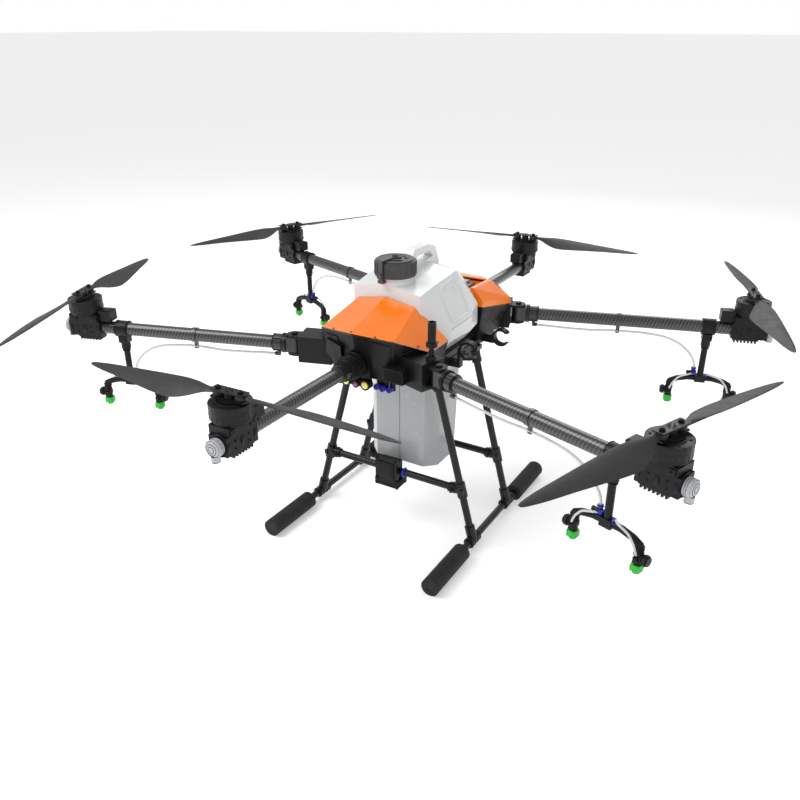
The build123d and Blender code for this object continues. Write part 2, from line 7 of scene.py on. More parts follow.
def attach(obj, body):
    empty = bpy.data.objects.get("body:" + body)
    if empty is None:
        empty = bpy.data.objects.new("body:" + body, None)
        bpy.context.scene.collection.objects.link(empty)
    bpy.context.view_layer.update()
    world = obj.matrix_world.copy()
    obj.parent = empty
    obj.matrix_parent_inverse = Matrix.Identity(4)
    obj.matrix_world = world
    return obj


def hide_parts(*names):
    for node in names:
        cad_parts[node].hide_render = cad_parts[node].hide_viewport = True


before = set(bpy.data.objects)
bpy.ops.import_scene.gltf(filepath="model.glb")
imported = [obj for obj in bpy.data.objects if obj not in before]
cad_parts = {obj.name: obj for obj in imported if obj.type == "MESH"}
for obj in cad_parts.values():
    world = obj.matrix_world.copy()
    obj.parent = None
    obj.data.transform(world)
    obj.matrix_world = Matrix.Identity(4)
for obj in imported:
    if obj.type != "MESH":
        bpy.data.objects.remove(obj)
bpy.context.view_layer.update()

# ---- measures shared with the CAD model, in mm and degrees ----
MM = 0.001
ALL_ARMS = (1, 2, 3, 4, 5, 6)
SPRAY_ARMS = (2, 3, 5, 6)
ARM_Z = 552
DISC_Z = 646
# x, y and direction of each arm where it leaves its pod, and its length to the rotor
ARMS = {
    1: (0.0, -295.0, -90.0, 443.0),
    2: (192.24, -259.02, -17.881, 615.5),
    3: (167.50, 251.04, 17.881, 641.5),
    4: (0.0, 290.0, 90.0, 448.0),
    5: (-167.50, 251.04, 162.119, 641.5),
    6: (-192.24, -259.02, -162.119, 615.5),
}
ARM_LENGTH = {k: row[3] for k, row in ARMS.items()}
COLLAR_END = 78.5       # along the arm, where the plain collar ends and the weave shows
BLADE_PIN = 28          # from the rotor's axis to the pin of each blade
BOOM_SETBACK = 103      # from the rotor's axis back to the drop boom
NOZZLE_REACH = 78       # from the drop boom to each nozzle
NECK_Y = -112           # axis of the tank neck and its cap
LEG_TOP_X, LEG_TOP_Z = 125, 494
SKID_X, SKID_Z = 253, 24
CROSSBAR_Z = 170
# angle of blade a of each rotor at rest, and the side of its blades that trails
BLADE_ANGLE = {1: 2, 2: 68.2, 3: 111.8, 4: 182, 5: 68.2, 6: 111.8}
TRAILING = {1: 1, 2: 1, 3: -1, 4: -1, 5: 1, 6: -1}

# ---- materials ----
# sockets of the Mix node when it mixes colours
MIX_FACTOR, MIX_A, MIX_B, MIX_RESULT = 0, 6, 7, 2
# size of one step of the weave along the tube in m, and the steps round the tube
WEAVE_STEP = 0.0023
WEAVE_STEPS_ROUND = 16


def nodes_of(name, colour, rough, metal=0.0, coat=0.0):
    mat = bpy.data.materials.new(name)
    mat.use_nodes = True
    tree = mat.node_tree
    shader = tree.nodes["Principled BSDF"]
    shader.inputs["Base Color"].default_value = (*colour, 1)
    shader.inputs["Roughness"].default_value = rough
    shader.inputs["Metallic"].default_value = metal
    shader.inputs["Coat Weight"].default_value = coat
    shader.inputs["Coat Roughness"].default_value = 0.12
    return mat, tree, shader


def noise(tree, scale, detail=4.0):
    node = tree.nodes.new("ShaderNodeTexNoise")
    node.inputs["Scale"].default_value = scale
    node.inputs["Detail"].default_value = detail
    source = tree.nodes.new("ShaderNodeTexCoord").outputs["Object"]
    tree.links.new(source, node.inputs["Vector"])
    return node.outputs["Fac"]


def ranged(tree, value, low, high, start=0.3, end=0.7):
    """Maps start..end, by default the busy part of a noise, to low..high."""
    node = tree.nodes.new("ShaderNodeMapRange")
    node.inputs["From Min"].default_value = start
    node.inputs["From Max"].default_value = end
    node.inputs["To Min"].default_value = low
    node.inputs["To Max"].default_value = high
    tree.links.new(value, node.inputs["Value"])
    return node.outputs["Result"]


def bump(tree, shader, height, strength, distance):
    node = tree.nodes.new("ShaderNodeBump")
    node.inputs["Strength"].default_value = strength
    node.inputs["Distance"].default_value = distance
    tree.links.new(height, node.inputs["Height"])
    tree.links.new(node.outputs["Normal"], shader.inputs["Normal"])


def mixed(tree, factor, a, b):
    node = tree.nodes.new("ShaderNodeMix")
    node.data_type = "RGBA"
    node.inputs[MIX_A].default_value = (*a, 1)
    node.inputs[MIX_B].default_value = (*b, 1)
    tree.links.new(factor, node.inputs[MIX_FACTOR])
    return node.outputs[MIX_RESULT]


def maths(tree, kind, *values):
    node = tree.nodes.new("ShaderNodeMath")
    node.operation = kind
    for i, value in enumerate(values):
        if isinstance(value, (int, float)):
            node.inputs[i].default_value = value
        else:
            tree.links.new(value, node.inputs[i])
    return node.outputs[0]


def moulded(name, dark, light, rough, grain=900.0, depth=0.00012,
            metal=0.0, coat=0.0, spread=0.06, shine=0.5):
    """Moulded or painted surface: fine grain, a slow change of shade and of gloss."""
    mat, tree, shader = nodes_of(name, dark, rough, metal, coat)
    shader.inputs["Specular IOR Level"].default_value = shine
    shade = ranged(tree, noise(tree, 14.0, 5.0), 0.0, 1.0)
    tree.links.new(mixed(tree, shade, dark, light), shader.inputs["Base Color"])
    gloss = ranged(tree, noise(tree, 60.0, 6.0), rough - spread, rough + spread)
    tree.links.new(gloss, shader.inputs["Roughness"])
    bump(tree, shader, noise(tree, grain, 2.0), 0.35, depth)
    return mat


def carbon(name, origin, angle, collar):
    """Twill weave round a tube that runs along angle from origin, plain up to collar."""
    mat, tree, shader = nodes_of(name, (0.02, 0.02, 0.021), 0.3, coat=0.5)
    coords = tree.nodes.new("ShaderNodeTexCoord").outputs["Object"]
    turn = tree.nodes.new("ShaderNodeMapping")
    turn.vector_type = "TEXTURE"
    turn.inputs["Location"].default_value = origin
    turn.inputs["Rotation"].default_value = (0, 0, math.radians(angle))
    tree.links.new(coords, turn.inputs["Vector"])
    split = tree.nodes.new("ShaderNodeSeparateXYZ")
    tree.links.new(turn.outputs["Vector"], split.inputs[0])
    along, across, up = split.outputs
    round_tube = maths(tree, "ARCTAN2", up, across)
    per_turn = WEAVE_STEPS_ROUND / (2 * math.pi)
    step_along = maths(tree, "FLOOR", maths(tree, "DIVIDE", along, WEAVE_STEP))
    step_round = maths(tree, "FLOOR", maths(tree, "MULTIPLY", round_tube, per_turn))
    # of every four steps, two lie on top
    step = maths(tree, "FLOORED_MODULO", maths(tree, "ADD", step_along, step_round), 4.0)
    over = maths(tree, "LESS_THAN", step, 1.5)
    is_tube = maths(tree, "GREATER_THAN", along, collar)
    weave = maths(tree, "MULTIPLY", over, is_tube)
    shade = mixed(tree, weave, (0.006, 0.006, 0.007), (0.050, 0.050, 0.053))
    tree.links.new(shade, shader.inputs["Base Color"])
    gloss = ranged(tree, weave, 0.42, 0.28, 0.0, 1.0)
    tree.links.new(gloss, shader.inputs["Roughness"])
    bump(tree, shader, weave, 0.25, 0.0002)
    return mat


def clear(name, colour, rough, weight):
    """Translucent plastic."""
    mat, tree, shader = nodes_of(name, colour, rough)
    shader.inputs["Transmission Weight"].default_value = weight
    shader.inputs["IOR"].default_value = 1.4
    gloss = ranged(tree, noise(tree, 90.0), rough * 0.7, rough * 1.4)
    tree.links.new(gloss, shader.inputs["Roughness"])
    bump(tree, shader, noise(tree, 160.0), 0.08, 0.00005)
    return mat


def tank_plastic_painted_shade():
    """White plastic that greys towards the lower half of the tank: painted shade under the body.
    """
    mat, tree, shader = nodes_of("tank_white", (0.8, 0.8, 0.8), 0.22, coat=0.25)
    shader.inputs["Subsurface Weight"].default_value = 0.08
    split = tree.nodes.new("ShaderNodeSeparateXYZ")
    tree.links.new(tree.nodes.new("ShaderNodeTexCoord").outputs["Object"], split.inputs[0])
    # painted shade: grey below the underside of the body, white above it, blended between 0.42
    # and 0.60 m up; the cloud adds a random change of tone
    height = ranged(tree, split.outputs["Z"], 0.0, 1.0, 0.42, 0.60)
    cloud = ranged(tree, noise(tree, 6.0, 2.0), -0.06, 0.06)
    shade = maths(tree, "ADD", height, cloud)
    colour = mixed(tree, shade, (0.40, 0.41, 0.42), (0.74, 0.74, 0.74))
    tree.links.new(colour, shader.inputs["Base Color"])
    gloss = ranged(tree, noise(tree, 18.0), 0.20, 0.28)
    tree.links.new(gloss, shader.inputs["Roughness"])
    bump(tree, shader, noise(tree, 60.0, 2.0), 0.06, 0.0003)
    return mat


M = {
    "orange": moulded("hood_orange", (0.96, 0.195, 0.006), (1.0, 0.225, 0.008), 0.22,
                      grain=700.0, depth=0.00006, coat=0.5, spread=0.05),
    "cap": moulded("cap_grey", (0.045, 0.045, 0.047), (0.065, 0.065, 0.068), 0.42),
    "black": moulded("frame_black", (0.005, 0.005, 0.006), (0.009, 0.009, 0.010), 0.40,
                     shine=0.22),
    "blade": moulded("blade_grey", (0.020, 0.020, 0.021), (0.030, 0.030, 0.031), 0.50,
                     grain=1400.0, depth=0.00006, shine=0.3),
    "motor": moulded("motor_black", (0.006, 0.006, 0.007), (0.010, 0.010, 0.011), 0.34,
                     grain=1500.0, depth=0.00003, shine=0.25),
    "gear": moulded("gear_black", (0.006, 0.006, 0.007), (0.011, 0.011, 0.012), 0.34,
                    depth=0.00005, coat=0.1, shine=0.25),
    "module": moulded("module_black", (0.005, 0.005, 0.006), (0.010, 0.010, 0.011), 0.40,
                      shine=0.22),
    "foam": moulded("foam_black", (0.006, 0.006, 0.006), (0.012, 0.012, 0.012), 0.80,
                    grain=420.0, depth=0.0006),
    "green": moulded("nozzle_green", (0.001, 0.36, 0.008), (0.004, 0.48, 0.014), 0.32,
                     grain=500.0, depth=0.00006, coat=0.2),
    "blue": moulded("ring_blue", (0.004, 0.012, 0.80), (0.006, 0.018, 0.95), 0.28,
                    grain=500.0, depth=0.00005, coat=0.3),
    "battery": moulded("battery_grey", (0.20, 0.25, 0.31), (0.26, 0.31, 0.37), 0.40),
    "window": moulded("display_black", (0.006, 0.006, 0.007), (0.012, 0.012, 0.013), 0.12,
                      grain=300.0, depth=0.00003, coat=0.5),
    "steel": moulded("screw_steel", (0.06, 0.06, 0.065), (0.12, 0.12, 0.125), 0.32,
                     depth=0.00004, metal=0.9),
    "led": moulded("led_yellow", (0.85, 0.72, 0.10), (0.95, 0.86, 0.25), 0.20,
                   depth=0.00004, coat=0.6),
    "lens": moulded("lens_magenta", (0.28, 0.03, 0.12), (0.42, 0.06, 0.20), 0.10,
                    depth=0.00003, coat=0.9),
    "tank": tank_plastic_painted_shade(),
    "hose": clear("hose_clear", (0.74, 0.76, 0.78), 0.16, 0.30),
    "lamp": clear("lamp_clear", (0.72, 0.74, 0.77), 0.08, 0.35),
}


# ---- local frames of the arms and rotors ----
def body_of_arm(k):
    return "root" if k in (1, 4) else f"side_arm_{k}"


def arm_matrix(k):
    x, y, angle, _ = ARMS[k]
    start = Matrix.Translation((x * MM, y * MM, ARM_Z * MM))
    return start @ Matrix.Rotation(math.radians(angle), 4, "Z")


def hub_matrix(k):
    return arm_matrix(k) @ Matrix.Translation((ARM_LENGTH[k] * MM, 0, (DISC_Z - ARM_Z) * MM))


def rotor_matrix(k, turn=0.0):
    hub = hub_matrix(k).translation
    return Matrix.Translation(hub) @ Matrix.Rotation(math.radians(BLADE_ANGLE[k] + turn), 4, "Z")


# ---- mesh tools: all sizes in mm, built in a local frame and then placed ----
SPIN = {
    "X": Matrix.Rotation(math.pi / 2, 4, "Y"),
    "Y": Matrix.Rotation(-math.pi / 2, 4, "X"),
    "Z": Matrix.Identity(4),
}


def around(count, r, start=0.0):
    """Evenly spaced points on a circle, as offsets from its centre."""
    for i in range(count):
        a = start + 2 * math.pi * i / count
        yield r * math.cos(a), r * math.sin(a)


def circles(profile, axis, at, sides):
    """Rings of points about an axis, one for each (distance along it, radius)."""
    place = Matrix.Translation(at) @ SPIN[axis]
    return [[place @ Vector((x, y, along)) for x, y in around(sides, r)] for along, r in profile]


def circle_about(p, u, v, r, sides):
    """Ring of points about p in the plane of the unit vectors u and v."""
    return [p + r * (u * x + v * y) for x, y in around(sides, 1.0)]


class Build:
    def __init__(self):
        self.mesh = bmesh.new()

    def box(self, x0, x1, y0, y1, z0, z1, chamfer=0.8):
        size = Vector((x1 - x0, y1 - y0, z1 - z0))
        centre = Vector((x0 + x1, y0 + y1, z0 + z1)) / 2
        place = Matrix.Translation(centre) @ Matrix.Diagonal((*size, 1))
        made = bmesh.ops.create_cube(self.mesh, size=1.0, matrix=place)["verts"]
        edges = list(dict.fromkeys(e for v in made for e in v.link_edges))
        width = min(chamfer, min(size) * 0.3)
        bmesh.ops.bevel(self.mesh, geom=edges, offset=width, segments=2, affect="EDGES",
                        profile=0.6)

    def loft(self, rings, looped=False):
        """Skin over rings of points, capped at both ends or led back to the first ring."""
        made = [[self.mesh.verts.new(p) for p in ring] for ring in rings]
        count = len(made[0])
        following = made[1:] + made[:1] if looped else made[1:]
        for low, high in zip(made, following):
            for i in range(count):
                j = (i + 1) % count
                self.mesh.faces.new((low[i], low[j], high[j], high[i]))
        if not looped:
            self.mesh.faces.new(list(reversed(made[0])))
            self.mesh.faces.new(made[-1])

    def turned(self, profile, axis="Z", at=(0, 0, 0), sides=40):
        """Profile of (distance along the axis, radius) turned about the axis."""
        self.loft(circles(profile, axis, at, sides))

    def ring(self, at, axis, inner, outer, width, sides=40):
        """Flat-sided band round an axis with slightly eased outer corners."""
        half = width / 2
        ease = min(0.8, width / 4, (outer - inner) / 2)
        profile = [(-half, inner), (-half, outer - ease), (-half + ease, outer),
                   (half - ease, outer), (half, outer - ease), (half, inner)]
        self.loft(circles(profile, axis, at, sides), looped=True)

    def screw(self, at, axis="Z", r=3.0, height=1.6):
        """Button head with a round recess, facing along the axis, or back for height < 0."""
        s = 1 if height > 0 else -1
        h = abs(height)
        profile = [(0, r), (s * h * 0.6, r), (s * h, r * 0.72), (s * h, r * 0.42),
                   (s * h * 0.45, r * 0.38)]
        self.turned(profile, axis, at, 12)

    def done(self, name, material, body, place=None, smooth=32):
        """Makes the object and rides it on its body."""
        bmesh.ops.recalc_face_normals(self.mesh, faces=self.mesh.faces)
        self.mesh.transform(Matrix.Diagonal((MM, MM, MM, 1)))
        if place is not None:
            self.mesh.transform(place)
        data = bpy.data.meshes.new(name)
        self.mesh.to_mesh(data)
        self.mesh.free()
        data.materials.append(M[material])
        piece = bpy.data.objects.new(name, data)
        bpy.context.scene.collection.objects.link(piece)
        for poly in data.polygons:
            poly.use_smooth = True
        data.set_sharp_from_angle(angle=math.radians(smooth))
        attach(piece, body)
        return piece


# ---- finishes for the CAD nodes ----
FINISH = {
    "front_pod": "black", "rear_pod": "black", "front_hood": "orange", "rear_hood": "orange",
    "tank": "tank", "tank_handle": "tank", "tank_cap": "cap", "cap_strap": "cap",
    "battery": "battery", "side_rails": "black", "landing_legs": "gear", "skid_tubes": "gear",
    "foam_pads": "foam", "radar": "module", "camera_light": "module", "antenna": "module",
    "pumps": "module", "electronics": "module",
}
for k in ALL_ARMS:
    x, y, angle, _ = ARMS[k]
    M[f"arm_{k}"] = carbon(f"carbon_{k}", (x * MM, y * MM, ARM_Z * MM), angle, COLLAR_END * MM)
    FINISH[f"arm_{k}"] = f"arm_{k}"
    FINISH[f"motor_mount_{k}"] = "black"
    FINISH[f"rotor_{k}"] = "motor"
    FINISH[f"blade_{k}a"] = "blade"
    FINISH[f"blade_{k}b"] = "blade"
for k in SPRAY_ARMS:
    FINISH[f"boom_{k}"] = "black"
    FINISH[f"nozzle_caps_{k}"] = "green"
    FINISH[f"hose_{k}"] = "hose"

# width of the bevel on the edges of each node, in mm
EASED = {
    "front_pod": 2.2, "rear_pod": 2.2, "front_hood": 1.4, "rear_hood": 1.4, "tank": 6.0,
    "tank_handle": 3.5, "tank_cap": 1.2, "battery": 2.5, "side_rails": 1.0, "radar": 1.6,
    "camera_light": 1.0, "cap_strap": 0.8,
}
for name, finish in FINISH.items():
    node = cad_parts[name]
    node.data.materials.clear()
    node.data.materials.append(M[finish])
    if name in EASED:
        ease = node.modifiers.new("eased_edges", "BEVEL")
        ease.width = EASED[name] * MM
        ease.segments = 3
        ease.limit_method = "ANGLE"
        ease.angle_limit = math.radians(24)
        ease.harden_normals = False


# ---- blades: smooth lofts in place of the faceted ones ----
# distance from the pin, leading edge, trailing edge, thickness, pitch in degrees
BLADE = (
    (9, 8, 8, 9.0, 0), (30, 10, 12, 8.6, 12), (60, 15, 28, 7.8, 22), (95, 18, 42, 6.8, 21),
    (135, 18, 42, 5.8, 18), (190, 16, 35, 4.8, 15), (250, 13, 26, 4.0, 12),
    (310, 9, 17, 3.0, 10), (345, 4, 9, 2.2, 9), (353, 1, 5, 1.6, 9),
)
BLADE_STATIONS = (
    9, 14, 20, 30, 40, 50, 60, 72, 84, 95, 108, 121, 135, 150, 165, 180, 195, 210, 225, 240,
    255, 270, 285, 300, 312, 324, 334, 341, 346, 350, 353,
)
BLADE_POINTS = 14       # points on each face of a section
TIP_DROOP = 9


def blade_row(x):
    """Section at distance x, on a smooth curve through the rows of BLADE."""
    for i in range(len(BLADE) - 1):
        if x <= BLADE[i + 1][0]:
            break
    before, low, high, after = (BLADE[max(i - 1, 0)], BLADE[i], BLADE[i + 1],
                                BLADE[min(i + 2, len(BLADE) - 1)])
    span = high[0] - low[0]
    t = (x - low[0]) / span
    row = []
    for c in range(1, 5):
        slope_low = (high[c] - before[c]) / (high[0] - before[0]) * span
        slope_high = (after[c] - low[c]) / (after[0] - low[0]) * span
        a = 2 * t ** 3 - 3 * t ** 2 + 1
        b = t ** 3 - 2 * t ** 2 + t
        row.append(a * low[c] + b * slope_low + (1 - a) * high[c]
                   + (t ** 3 - t ** 2) * slope_high)
    return row


def blade_ring(x, side):
    """Closed outline of the section at x; side is the one that trails, 1 or -1."""
    lead, trail, thick, pitch = blade_row(x)
    chord = lead + trail
    c, s = math.cos(math.radians(pitch)), math.sin(math.radians(pitch))
    sag = TIP_DROOP * x / BLADE[-1][0]
    points = []
    for i in range(2 * BLADE_POINTS):
        t = i / BLADE_POINTS
        u = (1 - math.cos(math.pi * t)) / 2
        skin = math.sin(math.pi * u ** 0.7)
        z = thick * (0.5 * skin + 0.03 if t <= 1 else -0.36 * skin - 0.03)
        y = -lead + chord * u
        points.append(Vector((x, side * (y * c + z * s), -sag - y * s + z * c)))
    return points


for k in ALL_ARMS:
    for letter, turn in (("a", 0), ("b", 180)):
        part = Build()
        part.loft([blade_ring(x, TRAILING[k]) for x in BLADE_STATIONS])
        part.turned([(-5.7, 11.4), (-5.1, 12), (5.1, 12), (5.7, 11.4)])
        place = rotor_matrix(k, turn) @ Matrix.Translation((BLADE_PIN * MM, 0, 0))
        wing = part.done(f"blade_skin_{k}{letter}", "blade", f"blade_{k}{letter}", place, 50)
        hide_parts(f"blade_{k}{letter}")


# ---- motors ----
MOTOR_TOP = -13         # top of the bell, in the frame of the blades

for k in ALL_ARMS:
    # bell: two rows of vent marks, bands, screws
    part = Build()
    for x, y in around(20, 43.6):
        for z0, z1 in ((MOTOR_TOP - 30, MOTOR_TOP - 22), (MOTOR_TOP - 9, MOTOR_TOP - 5)):
            part.turned([(z0, 1.4), (z1, 1.4)], "Z", (x, y, 0), 8)
    part.ring((0, 0, MOTOR_TOP - 31.5), "Z", 41, 44.6, 3)
    part.ring((0, 0, MOTOR_TOP - 1.2), "Z", 40, 44.5, 2.4)
    part.ring((0, 0, MOTOR_TOP - 14), "Z", 43, 44.4, 1.2)
    part.ring((0, 0, MOTOR_TOP - 18), "Z", 43, 44.4, 1.2)
    part.ring((0, 0, MOTOR_TOP + 0.6), "Z", 26, 30, 1.6)
    for outer, inner in zip(around(6, 35), around(6, 7)):
        part.screw((*outer, MOTOR_TOP), "Z", 2.6, 1.8)
        part.screw((*inner, 10), "Z", 1.6, 1.6)
    for x in (-BLADE_PIN, BLADE_PIN):
        part.screw((x, 0, 12), "Z", 4.6, 2.6)
    part.done(f"motor_trim_{k}", "motor", f"rotor_{k}", rotor_matrix(k), 30)

    # mount: bands and screws of the clamp, plates on the sides, foot of the bell
    part = Build()
    length = ARM_LENGTH[k]
    for x in (length - 40, length, length + 40):
        part.ring((x, 0, 0), "X", 21, 25.6, 9, 48)
    for x in (length - 20, length + 20):
        for side in (-1, 1):
            part.screw((x, side * 23, 6), "Y", 2.8, side * 2)
            part.screw((x, side * 23, -10), "Y", 2.8, side * 2)
    for x in (length - 36, length + 36):
        for y in (-20, 20):
            part.screw((x, y, 40), "Z", 3.0, 2.0)
    for side in (-1, 1):
        y0, y1 = sorted((side * 26, side * 28.4))
        part.box(length - 42, length - 22, y0, y1, 23, 37, 1.2)
        part.box(length + 16, length + 36, y0, y1, 23, 37, 1.2)
        part.screw((length - 32, side * 28.2, 30), "Y", 2.4, side * 1.6)
        part.screw((length + 26, side * 28.2, 30), "Y", 2.4, side * 1.6)
    part.turned([(14, 32), (15, 37), (18, 40.5), (26, 41), (28, 39.6)], "Z", (length, 0, 25), 48)
    part.box(length - 76, length - 46, -15, 15, 49.6, 52, 0.8)
    part.done(f"mount_trim_{k}", "black", body_of_arm(k), arm_matrix(k), 30)

    # end lamp: cover with its bands and dome, and the cup below it
    part = Build()
    part.ring((length + 54.4, 0, 0), "X", 18.03, 18.6, 15.6, 36)
    for x in (49, 53, 57, 60.5):
        part.ring((length + x, 0, 0), "X", 17.6, 19.2, 1.6, 36)
    part.turned([(61.6, 17), (63, 16), (65, 12.6), (66.2, 7), (66.6, 1)], "X",
                (length, 0, 0), 36)
    part.turned([(-31, 4), (-30.6, 7.4), (-28, 9.4), (-17, 9.6)], "Z", (length + 55.5, 0, 0), 28)
    part.done(f"lamp_cover_{k}", "lamp", body_of_arm(k), arm_matrix(k), 30)

    part = Build()
    for r in (6.5, 11.5):
        part.ring((length + 66.6 - 0.012 * r ** 2, 0, 0), "X", r, r + 1.3, 0.9, 36)
    for x in (51, 55):
        part.ring((length + x, 0, 0), "X", 18.4, 18.9, 1.0, 36)
    part.done(f"lamp_lines_{k}", "window", body_of_arm(k), arm_matrix(k), 30)


# ---- spray booms ----
HOSE_R = 2.6


def eased_path(corners):
    """Corners split into six steps each, then smoothed three times with the ends kept."""
    points = [Vector(a).lerp(Vector(b), i / 6) for a, b in zip(corners, corners[1:])
              for i in range(6)]
    points.append(Vector(corners[-1]))
    for _ in range(3):
        middle = [(p + q + r) / 3 for p, q, r in zip(points, points[1:], points[2:])]
        points = [points[0]] + middle + [points[-1]]
    return points


def hose_rings(points):
    rings = []
    for i, p in enumerate(points):
        ahead = (points[min(i + 1, len(points) - 1)] - points[max(i - 1, 0)]).normalized()
        side = ahead.cross(Vector((0, 1, 0))).normalized()
        rings.append(circle_about(p, side, ahead.cross(side), HOSE_R, 12))
    return rings


for k in SPRAY_ARMS:
    boom_x = ARM_LENGTH[k] - BOOM_SETBACK
    part = Build()
    for z in (-150, -145.6):
        part.ring((boom_x + 15.5, 0, z), "X", 5, 7.2, 2.0, 24)
    part.ring((boom_x - 13, 0, -138), "X", 5.4, 7.2, 2.4, 24)
    part.ring((boom_x - 17, 0, -138), "X", 5.4, 7.2, 2.4, 24)
    part.ring((boom_x - 20, 0, -125), "Z", 5.8, 7.4, 2.6, 24)
    part.done(f"tee_rings_{k}", "blue", body_of_arm(k), arm_matrix(k), 30)

    part = Build()
    for z in (-56, -62, -146):
        part.ring((boom_x, 0, z), "Z", 8.4, 11.0, 3.4, 28)
    for s in (-1, 1):
        x = boom_x + s * NOZZLE_REACH
        for z in (-171, -177, -184.5, -189):
            part.ring((x, 0, z), "Z", 7.8, 10.4, 2.6, 28)
        # ribs and bands of the knob on the end of the nozzle body
        end = x + s * 24
        x0, x1 = sorted((end - s * 9, end))
        for y, rise in around(8, 9):
            z = -196 + rise
            part.box(x0, x1, y - 1.3, y + 1.3, z - 1.3, z + 1.3, 0.4)
        part.ring((x + s * 10, 0, -196), "X", 8.8, 10.6, 2.4, 28)
        part.ring((x + s * 17, 0, -196), "X", 8.8, 12.6, 8.0, 10)
        part.ring((x + s * 23, 0, -196), "X", 6.0, 10.4, 2.6, 28)
        for y in (-1, 1):
            y0, y1 = sorted((y * 8, y * 13.5))
            part.box(x - 5, x + 5, y0, y1, -205, -192, 1.2)
    for y in (-1, 1):
        part.screw((boom_x - 9, y * 12, -29), "Y", 2.6, y * 2)
        part.screw((boom_x + 9, y * 12, -29), "Y", 2.6, y * 2)
    for x in (boom_x - 16, boom_x + 16):
        part.ring((x, 0, 0), "X", 21, 23, 2.4)
    part.done(f"boom_trim_{k}", "black", body_of_arm(k), arm_matrix(k), 30)

    part = Build()
    for s in (-1, 1):
        x = boom_x + s * NOZZLE_REACH
        for dx, y in around(4, 11.4, math.pi / 4):
            part.turned([(-228, 2), (-226, 2.6), (-214, 2.6), (-212.6, 2)], "Z",
                        (x + dx, y, 0), 12)
        part.ring((x, 0, -224.6), "Z", 9, 12.5, 1.6, 32)
    part.done(f"nozzle_trim_{k}", "green", body_of_arm(k), arm_matrix(k), 30)

    # short hoses from the tee out to each nozzle
    for s, letter, tee_x in ((-1, "in", -20), (1, "out", 18)):
        corners = [(boom_x + tee_x, 0, -141), (boom_x + s * 30, -9.5, -140),
                   (boom_x + s * 56, -10.5, -149), (boom_x + s * 72, -10.5, -170),
                   (boom_x + s * NOZZLE_REACH, -9.5, -188)]
        part = Build()
        part.loft(hose_rings(eased_path(corners)))
        part.done(f"boom_hose_{k}_{letter}", "hose", body_of_arm(k), arm_matrix(k), 60)


# ---- arm roots ----
for k in ALL_ARMS:
    part = Build()
    for x in (45, 48.5, 52):
        part.ring((x, 0, 0), "X", 24, 25.9, 1.8, 44)
    part.ring((76, 0, 0), "X", 21, 23.2, 3.4, 44)
    for y, z in around(4, 22, math.pi / 4):
        part.box(53, 74, y - 2, y + 2, z - 2, z + 2, 0.8)
    if k in (1, 4):
        for x, outer, width in ((12, 33, 6), (21, 32, 6), (30, 31, 6), (38.5, 29.5, 5)):
            part.ring((x, 0, 0), "X", 24, outer, width, 48)
    part.done(f"arm_root_{k}", "black", body_of_arm(k), arm_matrix(k), 30)


# ---- pods ----
PANEL_SINK = 0.5        # how far a raised panel reaches below the face it sits on


def on_plane(corners, u, v, lift=0.0):
    """Point on a quad given by four corners, at fractions u and v, lifted off its face."""
    a, b, c, d = (Vector(p) for p in corners)
    p = a.lerp(b, u).lerp(d.lerp(c, u), v)
    return p + (b - a).cross(d - a).normalized() * lift


def panel(part, corners, outline, height):
    """Raised panel on a quad, its outline given as fractions of the quad."""
    u0, v0 = (sum(values) / len(outline) for values in zip(*outline))
    rings = []
    for lift, grow in ((-PANEL_SINK, 1.0), (height - 0.6, 1.0), (height, 0.97)):
        rings.append([on_plane(corners, u0 + (u - u0) * grow, v0 + (v - v0) * grow, lift)
                      for u, v in outline])
    part.loft(rings)


FRONT_RIGHT = ((88, -268, 512), (144, -205, 512), (160, -212, 585), (104, -291, 626))
FRONT_LEFT = ((-144, -205, 512), (-88, -268, 512), (-104, -291, 626), (-160, -212, 585))
NOSE_RIGHT = ((0, -282, 512), (88, -268, 512), (104, -291, 626), (0, -312, 634))
NOSE_LEFT = ((-88, -268, 512), (0, -282, 512), (0, -312, 634), (-104, -291, 626))
NOSE_LEFT_OUTLINE = ((0.06, 0.44), (0.16, 0.34), (0.44, 0.36), (0.50, 0.50), (0.48, 0.86),
                     (0.10, 0.88))
NOSE_RIGHT_OUTLINE = ((0.42, 0.30), (0.92, 0.28), (0.93, 0.88), (0.46, 0.90))
CHEEK_OUTLINE = ((0.12, 0.30), (0.50, 0.22), (0.86, 0.34), (0.90, 0.78), (0.46, 0.90),
                 (0.14, 0.72))
part = Build()
panel(part, NOSE_LEFT, NOSE_LEFT_OUTLINE, 2.6)
panel(part, NOSE_RIGHT, NOSE_RIGHT_OUTLINE, 1.8)
panel(part, FRONT_LEFT, CHEEK_OUTLINE, 2.4)
panel(part, FRONT_RIGHT, CHEEK_OUTLINE, 2.4)
part.done("pod_panels", "black", "root", None, 28)

part = Build()
for i in range(8):
    z = 530 + 4.2 * i
    part.box(82, 130, -304.4, -301, z, z + 1.9, 0.5)
part.box(78, 134, -303.6, -301.6, 526, 529, 0.6)
part.box(78, 134, -303.6, -301.6, 558, 561.4, 0.6)
for x in (86, 126):
    part.screw((x, -296, 562), "Z", 2.6, 1.8)
for x in range(-22, 23, 11):
    part.screw((x, -298, 545), "Y", 1.8, -1.4)
part.done("louvre_trim", "black", "root", None, 28)

